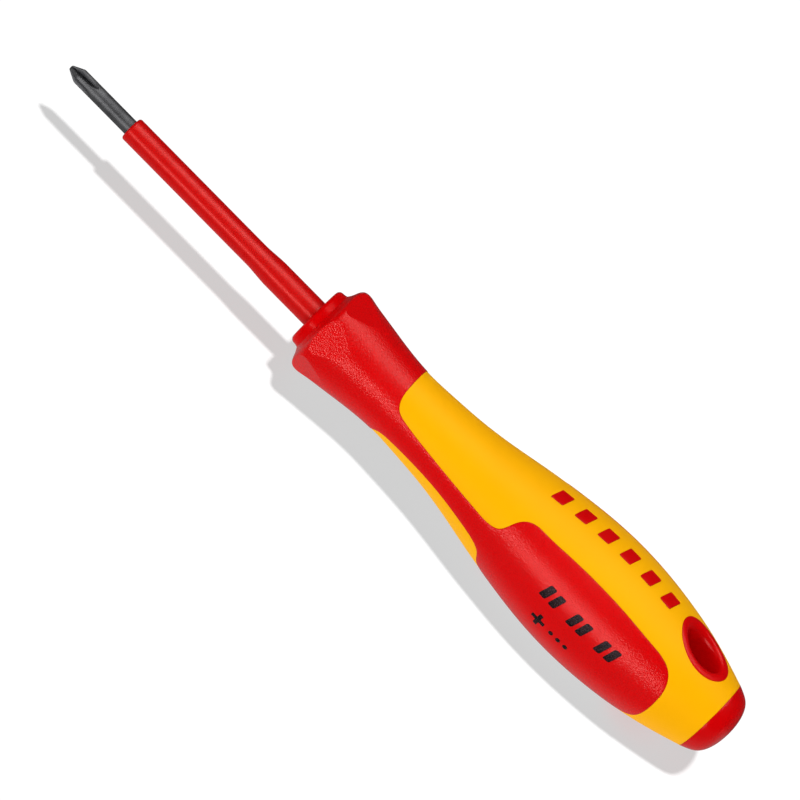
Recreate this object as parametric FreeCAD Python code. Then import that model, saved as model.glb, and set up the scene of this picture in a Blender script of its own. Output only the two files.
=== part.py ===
"""Insulated cross-recess screwdriver, size 0, with a moulded multi-component handle.

Row frame, in millimetres: the origin is the point of the blade, +X runs back along the blade's axis to the
butt of the handle, and +Z is the normal of one of the two faces that carry the inlays and the hanging hole.
Every sub-part is its own closed solid. The handle is mirrored about the XY and XZ planes.
"""
import FreeCAD, Part
import math
import os

from FreeCAD import Vector

# ---- Driving dimensions ------------------------------------------------------------------------------
TOTAL_LENGTH = 162.0        # point of the blade to the butt
HANDLE_FRONT_X = 60.1       # blade length outside the handle

# Blade: round rod, cross-recess point in front, pressed wings at the back
BLADE_R = 1.5
POINT_FLAT_R = 0.42
POINT_HALF_ANGLE = 26.5     # degrees, cone of the wings' outer edges
BLADE_END_X = 101.0
FLUTE_ROOT_R = 0.25         # flute bottom, measured from the axis at the point
FLUTE_SLOPE = 4.5           # degrees, flute bottom against the axis
FLUTE_STRAIGHT_X = 3.6      # where the straight flute passes into its run-out
FLUTE_WHEEL_R = 4.5         # radius of the run-out
FLUTE_TURN = 21.0           # degrees, first flute from +Z about the axis
WING_FRONT_X = 88.0
WING_BACK_X = 98.0
WING_R = 2.75
WING_THICKNESS = 1.0
WING_RAMP = 1.5

# Blade insulation: slim tube that thickens before the handle and ends inside it
SLEEVE_FRONT_X = 14.8
SLEEVE_R = 2.355
SLEEVE_EDGE_R = 0.45
SLEEVE_STEP_FRONT_X = 45.6
SLEEVE_STEP_BACK_X = 50.6
SLEEVE_BACK_R = 2.63
SLEEVE_END_X = 75.0
SLEEVE_LOCK_R = 3.1         # ring that keeps the sleeve from pulling out of the bush
SLEEVE_LOCK_X = 66.0
SLEEVE_LOCK_WIDTH = 1.2

# Nose bush: visible ring at the mouth of the handle, with a spigot inside
NOSE_RING_BACK_X = 61.95
NOSE_RING_R = 6.02
NOSE_RING_BACK_R = 6.2
NOSE_EDGE_R = 0.9
NOSE_SPIGOT_R = 4.8
NOSE_SPIGOT_END_X = 70.0

# Handle envelope, round except at the guard: (x, radius)
ENVELOPE = [
    (NOSE_RING_BACK_X, 6.25), (62.36, 6.82), (62.70, 7.62), (63.05, 8.32), (63.50, 8.78), (64.30, 9.02),
    (65.80, 8.82), (69.30, 8.25), (74.50, 7.50), (78.00, 7.10), (81.40, 6.92), (86.60, 7.11), (93.50, 7.62),
    (100.40, 8.60), (107.30, 9.91), (114.30, 11.05), (121.20, 11.90), (128.10, 12.26), (135.00, 12.02),
    (141.90, 11.25), (148.90, 9.90), (154.00, 8.48), (157.40, 7.41),
]
CAP_SEAM_X = 157.4
CAP_DOME = [(CAP_SEAM_X, 7.41), (159.10, 6.68), (160.20, 5.95), (160.95, 5.00), (161.50, 3.70)]
CAP_DOME_FLAT_R = 1.6       # nearly flat middle of the butt
CAP_PLUG_R = 4.6
CAP_PLUG_FRONT_X = 155.6
CAP_BEAD_R = 4.95           # bead that snaps into the shell
CAP_BEAD_X = 156.2
CAP_BEAD_WIDTH = 0.5

# Hexagonal guard: six flats cut on the front of the envelope
GUARD_APOTHEM = 8.2
GUARD_END_X = 80.0

# Soft grip: collar, two tongues and two pads in one skin
GRIP_WALL = 2.0
GRIP_FRONT_WALL = 1.45
COLLAR_END_X = 80.6
GRIP_EDGE = [               # (x, half-width) of tongue and pad, seen along Y
    (COLLAR_END_X, 6.9), (80.75, 5.8), (81.35, 4.25), (82.60, 3.10), (84.60, 2.62), (90.00, 2.15),
    (97.00, 1.95), (104.00, 2.22), (107.10, 2.65), (108.60, 3.45), (109.45, 5.00), (110.25, 6.60),
    (111.70, 7.70), (114.80, 8.30), (121.00, 8.95), (128.00, 9.28), (134.50, 9.00), (140.80, 8.25),
    (144.10, 7.65), (146.35, 6.65), (147.80, 4.95), (148.45, 2.60), (148.60, 0.0),
]

# Hard core inside the shell: (x, radius)
CORE = [
    (NOSE_SPIGOT_END_X, 3.7), (78.0, 3.7), (92.0, 3.9), (108.0, 5.9),
    (124.0, 7.6), (134.0, 7.7), (140.5, 6.9),
]
CORE_RIB_X = (100.0, 116.0, 130.0)
CORE_RIB_HEIGHT = 0.7
CORE_RIB_WIDTH = 1.6

# Hanging eyelet: oval liner through the back of the handle, along Z
EYELET_X = 148.3
EYELET_HALF_LENGTH = 6.2
EYELET_HALF_WIDTH = 4.65
EYELET_MOUTH = [            # (height, half-length, half-width, tilt in degrees) of the flare's sections
    (6.9, 3.80, 2.55, 0.0), (8.1, 3.88, 2.62, 7.0), (9.0, 4.25, 2.92, 11.0), (9.75, 5.05, 3.60, 13.2),
    (11.2, 7.6, 5.6, 13.2),
]

# Inlays: plain slanted bars, level with the shell, on both faces
INLAY_COUNT = 6
INLAY_FIRST_X = 112.6       # middle of the first bar
INLAY_PITCH = 5.1
INLAY_LENGTH = 2.6
INLAY_HALF_HEIGHT = 1.8
INLAY_SLANT = 0.9           # how far the top edge leans back
INLAY_CORNER_R = 0.35
INLAY_DEPTH = 1.2

REACH = 25.0                # longer than any radius of the handle
CLEAR = 1.0                 # how far a cutting body runs past the body it cuts

AXIS_X = Vector(1, 0, 0)
AXIS_Z = Vector(0, 0, 1)
ORIGIN = Vector(0, 0, 0)


# ---- Helpers -----------------------------------------------------------------------------------------
def at(x, r):
    """Point of a half profile in the XZ plane."""
    return Vector(x, 0, r)


def line(a, b):
    return Part.LineSegment(at(*a), at(*b)).toShape()


def spline(points):
    curve = Part.BSplineCurve()
    curve.interpolate([at(*p) for p in points])
    return curve.toShape()


def quarter_arc(start, end, centre):
    """Convex quarter of a circle between two points of a half profile."""
    mid_x = centre[0] + (start[0] + end[0] - 2 * centre[0]) / math.sqrt(2.0)
    mid_r = centre[1] + (start[1] + end[1] - 2 * centre[1]) / math.sqrt(2.0)
    return Part.Arc(at(*start), at(mid_x, mid_r), at(*end)).toShape()


def revolve(edges):
    """Solid of revolution about X from the edges of a closed half profile."""
    face = Part.Face(Part.Wire(Part.__sortEdges__(edges)))
    solid = face.revolve(ORIGIN, AXIS_X, 360)
    return Part.Solid(solid.Shells[0]) if solid.ShapeType != "Solid" else solid


def turned_solid(points, smooth=False):
    """Solid of revolution under a polyline or a spline, closed down to the axis."""
    first, last = points[0], points[-1]
    if smooth:
        outline = [spline(points)]
    else:
        outline = [line(a, b) for a, b in zip(points, points[1:])]
    ends = []
    if first[1] > 0:
        ends.append(line((first[0], 0), first))
    if last[1] > 0:
        ends.append(line(last, (last[0], 0)))
    return revolve(outline + ends + [line((last[0], 0), (first[0], 0))])


def cylinder(x_start, x_end, radius):
    return Part.makeCylinder(radius, x_end - x_start, Vector(x_start, 0, 0), AXIS_X)


def about_axis(shape, degrees):
    turned = shape.copy()
    turned.rotate(ORIGIN, AXIS_X, degrees)
    return turned


def inset(stations, depth, front_x):
    """The stations moved inward by depth, starting at front_x."""
    kept = [(x, r - depth) for x, r in stations if x > front_x + CLEAR]
    return [(front_x, kept[0][1])] + kept


# ---- Blade -------------------------------------------------------------------------------------------
def flute_cutter():
    """V-shaped cutter that opens to +Z: a straight sloped stretch, then a wheel-shaped run-out."""
    start_x = -CLEAR
    slope = math.tan(math.radians(FLUTE_SLOPE))
    opening = 2.2
    root_start = FLUTE_ROOT_R + start_x * slope
    root_end = FLUTE_ROOT_R + FLUTE_STRAIGHT_X * slope
    corners = [
        Vector(start_x, 0, root_start),
        Vector(start_x, opening, root_start + opening),
        Vector(start_x, -opening, root_start + opening),
    ]
    triangle = Part.Face(Part.makePolygon(corners + corners[:1]))
    run = FLUTE_STRAIGHT_X - start_x
    straight = triangle.extrude(Vector(run, 0, run * slope))
    centre = Vector(FLUTE_STRAIGHT_X, 0, root_end + FLUTE_WHEEL_R)
    rim = [
        Vector(centre.x, 0, root_end),
        Vector(centre.x, opening, root_end + opening),
        Vector(centre.x, -opening, root_end + opening),
    ]
    wheel = Part.Face(Part.makePolygon(rim + rim[:1])).revolve(centre, Vector(0, 1, 0), 360)
    wheel = wheel.common(Part.makeBox(REACH, REACH, REACH, Vector(FLUTE_STRAIGHT_X, -REACH / 2, 0)))
    return straight.fuse(wheel)


def blade_wing():
    """One pressed wing at the back of the blade, pointing to +Z."""
    outline = [
        Vector(WING_FRONT_X, 0, 0),
        Vector(WING_FRONT_X, 0, BLADE_R - 0.2),
        Vector(WING_FRONT_X + WING_RAMP, 0, WING_R),
        Vector(WING_BACK_X - WING_RAMP, 0, WING_R),
        Vector(WING_BACK_X, 0, BLADE_R - 0.2),
        Vector(WING_BACK_X, 0, 0),
    ]
    face = Part.Face(Part.makePolygon(outline + outline[:1]))
    face.translate(Vector(0, -WING_THICKNESS / 2, 0))
    return face.extrude(Vector(0, WING_THICKNESS, 0))


def make_blade():
    cone_end = (BLADE_R - POINT_FLAT_R) / math.tan(math.radians(POINT_HALF_ANGLE))
    end_chamfer = 0.4
    rod = turned_solid([
        (0, POINT_FLAT_R),
        (cone_end, BLADE_R),
        (BLADE_END_X - end_chamfer, BLADE_R),
        (BLADE_END_X, BLADE_R - end_chamfer),
    ])
    for k in range(4):
        rod = rod.cut(about_axis(flute_cutter(), FLUTE_TURN + 90 * k))
    for k in range(4):
        rod = rod.fuse(about_axis(blade_wing(), 90 * k))
    return rod.removeSplitter()


# ---- Blade insulation --------------------------------------------------------------------------------
def sleeve_outside():
    front, edge = SLEEVE_FRONT_X, SLEEVE_EDGE_R
    rise = SLEEVE_BACK_R - SLEEVE_R
    step_length = SLEEVE_STEP_BACK_X - SLEEVE_STEP_FRONT_X
    step = [
        (SLEEVE_STEP_FRONT_X + step_length * t, SLEEVE_R + rise * (3 * t * t - 2 * t ** 3))
        for t in (0.0, 0.15, 0.35, 0.5, 0.65, 0.85, 1.0)
    ]
    edges = [
        line((front, 0), (front, SLEEVE_R - edge)),
        quarter_arc((front, SLEEVE_R - edge), (front + edge, SLEEVE_R), (front + edge, SLEEVE_R - edge)),
        line((front + edge, SLEEVE_R), step[0]),
        spline(step),
        line(step[-1], (SLEEVE_END_X, SLEEVE_BACK_R)),
        line((SLEEVE_END_X, SLEEVE_BACK_R), (SLEEVE_END_X, 0)),
        line((SLEEVE_END_X, 0), (front, 0)),
    ]
    lock = cylinder(SLEEVE_LOCK_X, SLEEVE_LOCK_X + SLEEVE_LOCK_WIDTH, SLEEVE_LOCK_R)
    return revolve(edges).fuse(lock)


# ---- Handle ------------------------------------------------------------------------------------------
def make_nose_bush(sleeve_body):
    front, edge = HANDLE_FRONT_X, NOSE_EDGE_R
    face_r = NOSE_RING_R - edge
    edges = [
        line((front, 0), (front, face_r)),
        quarter_arc((front, face_r), (front + edge, NOSE_RING_R), (front + edge, face_r)),
        line((front + edge, NOSE_RING_R), (NOSE_RING_BACK_X, NOSE_RING_BACK_R)),
        line((NOSE_RING_BACK_X, NOSE_RING_BACK_R), (NOSE_RING_BACK_X, NOSE_SPIGOT_R)),
        line((NOSE_RING_BACK_X, NOSE_SPIGOT_R), (NOSE_SPIGOT_END_X, NOSE_SPIGOT_R)),
        line((NOSE_SPIGOT_END_X, NOSE_SPIGOT_R), (NOSE_SPIGOT_END_X, 0)),
        line((NOSE_SPIGOT_END_X, 0), (front, 0)),
    ]
    return revolve(edges).cut(sleeve_body)


def make_envelope():
    """Outside of the handle between the nose ring and the cap: a turned body with six flats on the guard."""
    body = turned_solid(ENVELOPE, smooth=True)
    length = GUARD_END_X - HANDLE_FRONT_X
    for k in range(6):
        slab = Part.makeBox(length, 2 * REACH, REACH, Vector(HANDLE_FRONT_X, -REACH, GUARD_APOTHEM))
        body = body.cut(about_axis(slab, 60 * k))
    return body


def grip_region():
    """Everything that the soft grip may fill, as a block along Y: the collar, and the tongue with its pad."""
    upper = spline(GRIP_EDGE)
    lower = upper.mirror(ORIGIN, AXIS_Z)
    front, back = HANDLE_FRONT_X, COLLAR_END_X
    corner = GRIP_EDGE[0][1]
    edges = [
        line((front, -REACH), (front, REACH)),
        line((front, REACH), (back, REACH)),
        line((back, REACH), (back, corner)),
        upper,
        lower,
        line((back, -corner), (back, -REACH)),
        line((back, -REACH), (front, -REACH)),
    ]
    face = Part.Face(Part.Wire(Part.__sortEdges__(edges)))
    face.translate(Vector(0, -REACH, 0))
    return face.extrude(Vector(0, 2 * REACH, 0))


def make_soft_grip(envelope):
    inside = turned_solid(inset(ENVELOPE, GRIP_WALL, NOSE_RING_BACK_X + GRIP_FRONT_WALL), smooth=True)
    spigot = cylinder(NOSE_RING_BACK_X - CLEAR, NOSE_SPIGOT_END_X, NOSE_SPIGOT_R)
    skin = envelope.cut(inside).cut(spigot)
    return skin.common(grip_region())


def make_core(blade, sleeve_body):
    core = turned_solid(CORE, smooth=True)
    for rib_x in CORE_RIB_X:
        radius = core_radius(rib_x) + CORE_RIB_HEIGHT
        core = core.fuse(cylinder(rib_x, rib_x + CORE_RIB_WIDTH, radius))
    return core.cut(blade).cut(sleeve_body)


def core_radius(x):
    """Radius of the core between its stations, along straight lines."""
    for (x0, r0), (x1, r1) in zip(CORE, CORE[1:]):
        if x0 <= x <= x1:
            return r0 + (r1 - r0) * (x - x0) / (x1 - x0)
    return CORE[-1][1]


def ellipse_wire(x, z, half_length, half_width, tilt):
    """Ellipse across the hanging hole, its long axis along X and tilted down towards the butt."""
    wire = Part.Wire(Part.Ellipse(Vector(0, 0, 0), half_length, half_width).toShape())
    wire.rotate(ORIGIN, Vector(0, 1, 0), tilt)
    wire.translate(Vector(x, 0, z))
    return wire


def eyelet_mouth():
    """Flared mouth of the hanging hole on the +Z face."""
    return Part.makeLoft([ellipse_wire(EYELET_X, *section) for section in EYELET_MOUTH], True, False)


def make_hang_eyelet(envelope):
    outer = Part.Face(ellipse_wire(EYELET_X, -REACH, EYELET_HALF_LENGTH, EYELET_HALF_WIDTH, 0))
    plug = outer.extrude(Vector(0, 0, 2 * REACH)).common(envelope)
    half_height, half_length, half_width, _ = EYELET_MOUTH[0]
    throat = Part.Face(ellipse_wire(EYELET_X, -half_height, half_length, half_width, 0))
    hole = throat.extrude(Vector(0, 0, 2 * half_height))
    mouth = eyelet_mouth()
    return plug.cut(hole).cut(mouth).cut(about_axis(mouth, 180)), plug


def make_cap():
    dome = CAP_DOME + [(TOTAL_LENGTH, CAP_DOME_FLAT_R)]
    body = turned_solid(dome, smooth=True)
    plug = cylinder(CAP_PLUG_FRONT_X, CAP_SEAM_X, CAP_PLUG_R)
    bead = cylinder(CAP_BEAD_X, CAP_BEAD_X + CAP_BEAD_WIDTH, CAP_BEAD_R)
    return body.fuse(plug).fuse(bead).removeSplitter()


def inlay_outline(middle_x):
    """Slanted bar with round corners, as a face in the XY plane."""
    half, lean, height = INLAY_LENGTH / 2, INLAY_SLANT / 2, INLAY_HALF_HEIGHT
    corners = [
        Vector(middle_x - half - lean, -height, 0),
        Vector(middle_x + half - lean, -height, 0),
        Vector(middle_x + half + lean, height, 0),
        Vector(middle_x - half + lean, height, 0),
    ]
    bar = Part.Face(Part.makePolygon(corners + corners[:1])).extrude(AXIS_Z)
    upright = [e for e in bar.Edges if abs(e.tangentAt(e.FirstParameter).z) > 0.99]
    rounded = bar.makeFillet(INLAY_CORNER_R, upright)
    return [f for f in rounded.Faces if abs(f.CenterOfMass.z) < 1e-6][0]


def make_inlays(envelope):
    stations = [(x, r - INLAY_DEPTH) for x, r in ENVELOPE if x > COLLAR_END_X]
    skin = envelope.cut(turned_solid(stations, smooth=True))
    bars = []
    for k in range(INLAY_COUNT):
        column = inlay_outline(INLAY_FIRST_X + k * INLAY_PITCH).extrude(Vector(0, 0, REACH))
        bar = column.common(skin)
        bars += [bar, about_axis(bar, 180)]
    return Part.Compound([solid for bar in bars for solid in bar.Solids])


# ---- Assembly ----------------------------------------------------------------------------------------
def build():
    blade = make_blade()
    sleeve_body = sleeve_outside()
    envelope = make_envelope()
    nose_bush = make_nose_bush(sleeve_body)
    soft_grip = make_soft_grip(envelope)
    core = make_core(blade, sleeve_body)
    eyelet, eyelet_plug = make_hang_eyelet(envelope)
    cap = make_cap()
    inlays = make_inlays(envelope)
    shell = envelope
    for other in (soft_grip, nose_bush, sleeve_body, blade, core, eyelet_plug, cap, inlays):
        shell = shell.cut(other)
    return {
        "blade": blade,
        "blade_insulation": sleeve_body.cut(blade),
        "nose_bush": nose_bush,
        "handle_core": core,
        "handle_shell": shell,
        "soft_grip": soft_grip,
        "hang_eyelet": eyelet,
        "end_cap": cap,
        "shell_inlays": inlays,
    }


os.makedirs("parts", exist_ok=True)
for name, shape in build().items():
    solids = shape.Solids
    valid = all(s.isValid() and s.isClosed() for s in solids)
    print(f"{name}: {len(solids)} solid(s), volume {sum(s.Volume for s in solids):.1f} mm3, valid {valid}")
    kept = solids[0] if len(solids) == 1 else Part.Compound(solids)
    kept.exportStep(os.path.join("parts", name + ".step"))
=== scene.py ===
"""Looks of the insulated screwdriver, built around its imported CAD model.

Lengths of shapes are millimetres and become metres when a mesh is written; the stage is in metres. Angles
about the blade's axis are radians from +Z towards -Y, so an inlaid face is at 0 and the grip pad on the
camera's side is at pi / 2.
"""
import math

import bmesh
import bpy
import numpy as np
from mathutils import Matrix, Vector
from mathutils.geometry import delaunay_2d_cdt
from mathutils.kdtree import KDTree


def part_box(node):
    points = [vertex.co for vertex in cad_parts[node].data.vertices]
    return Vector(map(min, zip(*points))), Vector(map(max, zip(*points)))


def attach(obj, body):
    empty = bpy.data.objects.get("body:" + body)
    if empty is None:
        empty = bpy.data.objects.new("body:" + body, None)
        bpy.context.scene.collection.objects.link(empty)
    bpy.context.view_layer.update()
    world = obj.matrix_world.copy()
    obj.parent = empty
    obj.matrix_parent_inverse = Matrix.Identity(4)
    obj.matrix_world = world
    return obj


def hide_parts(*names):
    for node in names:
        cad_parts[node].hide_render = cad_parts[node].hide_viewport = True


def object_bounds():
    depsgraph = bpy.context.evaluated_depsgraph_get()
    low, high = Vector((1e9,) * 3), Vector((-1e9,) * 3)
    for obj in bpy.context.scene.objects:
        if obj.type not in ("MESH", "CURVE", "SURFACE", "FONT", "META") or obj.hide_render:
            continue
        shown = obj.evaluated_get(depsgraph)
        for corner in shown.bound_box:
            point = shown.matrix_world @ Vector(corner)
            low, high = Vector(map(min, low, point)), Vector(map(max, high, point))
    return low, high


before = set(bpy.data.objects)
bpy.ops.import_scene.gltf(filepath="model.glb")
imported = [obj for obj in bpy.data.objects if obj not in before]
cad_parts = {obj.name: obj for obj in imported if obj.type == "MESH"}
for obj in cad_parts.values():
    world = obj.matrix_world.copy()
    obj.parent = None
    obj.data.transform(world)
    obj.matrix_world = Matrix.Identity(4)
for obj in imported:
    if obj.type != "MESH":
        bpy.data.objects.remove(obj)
CAD_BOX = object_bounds()

MM = 0.001
HALF_TURN = math.pi
QUARTER = math.pi / 2


def span(node):
    """Lowest and highest corner of a CAD node, in millimetres."""
    low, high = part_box(node)
    return Vector(low) / MM, Vector(high) / MM


# ---- Sizes taken from the frame --------------------------------
BLADE_BACK_X = span("blade")[1].x
WING_R = span("blade")[1].z
SLEEVE_FRONT_X, SLEEVE_BACK_X = (corner.x for corner in span("blade_insulation"))
NOSE_FRONT_X = span("nose_bush")[0].x
GRIP_FRONT_X, PAD_BACK_X = (corner.x for corner in span("soft_grip"))
SEAM_X = span("handle_shell")[1].x
BELLY_R = span("handle_shell")[1].z
BUTT_X = span("end_cap")[1].x
EYELET_LOW, EYELET_HIGH = span("hang_eyelet")

# ---- Sizes of the visible shapes -------------------------------
BLADE_R = 1.5
POINT_R = 0.42
POINT_EDGE_R = 0.2
POINT_HALF_ANGLE = math.radians(26.5)
POINT_BLEND = 0.12          # rounding from the cone into the rod
FLUTE_ROOT_R = 0.25
FLUTE_SLOPE = math.radians(4.5)
FLUTE_STRAIGHT_X = 3.6
FLUTE_WHEEL_R = 4.5
FLUTE_TURN = math.radians(21.0)
FLUTE_BLEND = 0.05          # rounding of the flutes' edges
FLUTE_BLUNT = 0.0025        # rounding of their roots
WING_STATIONS = (88.0, 89.5, 96.5, 98.0)
WING_HALF_THICKNESS = 0.5

SLEEVE_R = 2.355
SLEEVE_BACK_R = 2.63
SLEEVE_EDGE_R = 0.5
SLEEVE_STEP = (45.6, 50.6)

NOSE_RING_R = 6.02
NOSE_RING_BACK_R = 6.2
NOSE_EDGE_R = 0.9
NOSE_SPIGOT_R = 4.8
NOSE_SPIGOT_BACK_X = 70.0

PROFILE = [                 # (x, radius) of the handle
    (GRIP_FRONT_X, 6.25), (62.36, 6.82), (62.70, 7.62), (63.05, 8.32), (63.50, 8.78), (64.30, 9.02),
    (65.80, 8.82), (69.30, 8.25), (74.50, 7.50), (78.00, 7.10), (81.40, 6.92), (86.60, 7.11), (93.50, 7.62),
    (100.40, 8.60), (107.30, 9.91), (114.30, 11.05), (121.20, 11.90), (128.10, BELLY_R), (135.00, 12.02),
    (141.90, 11.25), (148.90, 9.90), (154.00, 8.48), (SEAM_X, 7.41),
]
CAP_PROFILE = [(SEAM_X, 7.41), (159.10, 6.68), (160.20, 5.95), (160.95, 5.00), (161.50, 3.70), (BUTT_X, 0.0)]
CAP_PLUG_R = 4.6
CAP_PLUG_FRONT_X = 155.6

GUARD_APOTHEM = 8.2
GUARD_EDGE_BLEND = 0.04     # how softly a flat of the guard runs into the turned surface
GUARD_BACK_X = 72.0         # behind this the guard's flats have run out
NO_FLAT = 1e3               # radius that stands for no flat

COLLAR_BACK_X = 80.6
PAD_EDGE = [                # (x, half-width) of tongue and pad, seen along Y
    (COLLAR_BACK_X, 6.9), (80.75, 5.8), (81.35, 4.25), (82.60, 3.10), (84.60, 2.62), (90.00, 2.15),
    (97.00, 1.95), (104.00, 2.22), (107.10, 2.65), (108.60, 3.45), (109.45, 5.00), (110.25, 6.60),
    (111.70, 7.70), (114.80, 8.30), (121.00, 8.95), (128.00, 9.28), (134.50, 9.00), (140.80, 8.25),
    (144.10, 7.65), (146.35, 6.65), (147.80, 4.95), (148.45, 2.60), (PAD_BACK_X, 0.0),
]
PAD_PROUD = 0.06            # the soft grip stands this far over the handle's profile
SHELL_SUNK = 0.02           # and the hard shell lies this far under it
GRIP_RISE = (0.35, 0.036)   # first of the two steps of the grip's front edge: length and height
SEAM_GAP = 0.006            # half of the fine gap where two pieces meet
GRIP_EDGE_R = 0.12
SHELL_EDGE_R = 0.03
SKIN_DEPTH = 2.0

EYELET_X = (EYELET_LOW.x + EYELET_HIGH.x) / 2
EYELET_A = (EYELET_HIGH.x - EYELET_LOW.x) / 2
EYELET_B = (EYELET_HIGH.y - EYELET_LOW.y) / 2
THROAT_A = 3.65
THROAT_B = 2.40
EYELET_LIP = [              # (share of the way from the rim to the throat, height over the handle's profile)
    (0.00, -0.40), (0.00, -0.04), (0.01, 0.01), (0.03, 0.035), (0.07, 0.05), (0.15, 0.055), (0.25, 0.05),
    (0.35, 0.02), (0.44, -0.06), (0.53, -0.19), (0.615, -0.39), (0.695, -0.66), (0.77, -1.01),
    (0.835, -1.44), (0.89, -1.95), (0.935, -2.60), (0.968, -3.40), (0.99, -4.30), (1.00, -5.30),
]

INLAY_COUNT = 6
INLAY_FIRST_X = 112.6
INLAY_PITCH = 5.1
INLAY_LENGTH = 2.6
INLAY_HALF_HEIGHT = 1.8
INLAY_SLANT = 0.9
INLAY_CORNER_R = 0.35
INLAY_DEPTH = 1.2
INLAY_HEIGHT = -0.003       # of the bars' face over the handle's profile
INLAY_GAP = 0.01            # half of the gap round the bars and the eyelet
INLAY_EDGE_R = 0.08
HOLE_EDGE_R = 0.07          # rounding of the shell's holes

STROKE_FIRST_X = 121.8      # first stroke of the print on the pad
STROKE_PITCH = 2.3
STROKE_PAIR_PITCH = 6.6
STROKE_LOW = 1.6            # from the pad's middle towards +Z
STROKE_HIGH = 4.5
STROKE_WIDTH = 1.5
STROKE_LEAN = 0.7
PLUS_X = 124.4
PLUS_ACROSS = -2.6
PLUS_ARM = 1.5
PLUS_WIDTH = 0.85
DOT_FIRST_X = 127.6
DOT_PITCH = 1.7
DOT_R = 0.5
INK_HEIGHTS = (0.04, 0.08)  # underside and top of the ink over the handle's profile
INK_EDGE_R = 0.03

SPLINE_POINTS = 6000        # of the fine table along a spline
CREASE_POINTS = 4000        # where the edges of the guard's flats are looked for
FINE_STEP = 0.26            # mesh size on the guard
CREASE_STEP = 0.2           # spacing of points along the edges of its flats
MESH_STEP = 0.45            # mesh size elsewhere on the handle
INLAY_STEP = 0.35           # mesh size on the inlays
PRINT_STEP = 0.25           # mesh size on the print
INK_STEP = 0.18             # spacing of points along the outlines of the print
CLEARANCE = 0.62            # no grid point lies nearer than this share of the mesh size to a line
WELD = 2e-6                 # metres within which two vertices become one
ROUND_COLUMNS = 144         # columns of a turned mesh
BLADE_COLUMNS = 192
OVAL_COLUMNS = 96

# ---- Finishes and stage ----------------------------------------
GRAIN_SIZE = 0.30           # of the soft grip's mould texture
GRAIN_DEPTH = 0.028
HIGHLIGHT_RED = (1.0, 0.34, 0.32, 1.0)
HIGHLIGHT_SLEEVE = (1.0, 0.22, 0.20, 1.0)
NEUTRAL = (0.25, 0.25, 0.25, 1.0)
WHITE = (1, 1, 1, 1)
SHINE = 4.0                 # how much stronger a softbox is in reflections
SOFTBOXES = [               # name, (elevation, distance, length, width), radiance
    ("overhead", (91.0, 0.75, 1.1, 0.48), 2.4),
    ("front_low", (7.0, 0.75, 1.1, 0.12), 3.9),
]
PLAIN_PANELS = [            # no reflections of these; the second is what the floor throws back
    ("fill", (50.0, 0.8, 0.5, 0.5), 2.6),
    ("bounce", (-90.0, -CAD_BOX[0].z - 0.1 * MM, 1.0, 1.0), 0.9),
]
KEY_ELEVATION = 82.0
KEY_ENERGY = 4.6
KEY_ANGLE = math.radians(5.0)
WORLD_LEVELS = (0.17, 0.03)     # brightness all round, and as reflections see it
FLOOR_GREYS = ((0.29, 0.29, 0.29, 1), (0.31, 0.31, 0.31, 1))
FLOOR_EMISSION = 0.56
FLOOR_GLOW = (0.26, 0.05)       # floor's brightness in reflections, under the tool and beside it
FLOOR_GLOW_HALF_WIDTHS = (0.011, 0.018)
FLOOR_HALF_SIZE = 3.0
VIEW_ELEVATION = 39.0
VIEW_ROLL = math.radians(45.40)
VIEW_DISTANCE = 0.895
VIEW_WIDTH = 0.1384             # across the picture at the tool
VIEW_SHIFT = 0.0001             # how far over the axis the camera aims


# ---- Curves ----------------------------------------------------
class Spline:
    """Cubic spline through points of a plane, measured by chord length, with optional end directions."""

    def __init__(self, points, start=None, end=None):
        self.points = np.array(points, float)
        chords = np.linalg.norm(np.diff(self.points, axis=0), axis=1)
        self.knots = np.concatenate([[0.0], np.cumsum(chords)])
        self.slopes = self.solve(start, end)
        self.fine_t = np.linspace(0.0, self.knots[-1], SPLINE_POINTS)
        self.fine = self.at(self.fine_t)
        lengths = np.linalg.norm(np.diff(self.fine, axis=0), axis=1)
        self.fine_s = np.concatenate([[0.0], np.cumsum(lengths)])
        self.length = self.fine_s[-1]

    def solve(self, start, end):
        """Tangent at every point: continuous curvature inside, and free or given directions at the ends."""
        h = np.diff(self.knots)
        steps = np.diff(self.points, axis=0)
        n = len(self.points)
        rows = np.zeros((n, n))
        right = np.zeros((n, 2))
        for i in range(1, n - 1):
            rows[i, i - 1], rows[i, i], rows[i, i + 1] = h[i], 2 * (h[i - 1] + h[i]), h[i - 1]
            right[i] = 3 * (h[i] * (steps[i - 1] / h[i - 1]) + h[i - 1] * (steps[i] / h[i]))
        for last, next_to_it, direction in ((0, 1, start), (-1, -2, end)):
            rows[last, last] = 2.0 if direction is None else 1.0
            if direction is None:
                rows[last, next_to_it] = 1.0
                direction = 3 * steps[last] / h[last]
            right[last] = direction
        return np.linalg.solve(rows, right)

    def at(self, t):
        i = np.clip(np.searchsorted(self.knots, t, side="right") - 1, 0, len(self.knots) - 2)
        h = (self.knots[i + 1] - self.knots[i])[:, None]
        u = ((t - self.knots[i])[:, None]) / h
        p0, p1, m0, m1 = self.points[i], self.points[i + 1], self.slopes[i], self.slopes[i + 1]
        bend = (2 * u ** 3 - 3 * u ** 2 + 1) * p0 + (3 * u ** 2 - 2 * u ** 3) * p1
        return bend + h * ((u ** 3 - 2 * u ** 2 + u) * m0 + (u ** 3 - u ** 2) * m1)

    def at_length(self, s):
        return self.at(np.interp(s, self.fine_s, self.fine_t))

    def evenly(self, step):
        count = max(2, round(self.length / step) + 1)
        return self.at_length(np.linspace(0.0, self.length, count))


HANDLE = Spline(PROFILE)
# Mean radius, which makes an angle on the handle comparable with a length
MEAN_R = float(np.mean(HANDLE.fine[:, 1]))


def s_of_x(x):
    """Distance along the handle's profile at x."""
    return np.interp(x, HANDLE.fine[:, 0], HANDLE.fine_s)


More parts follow.
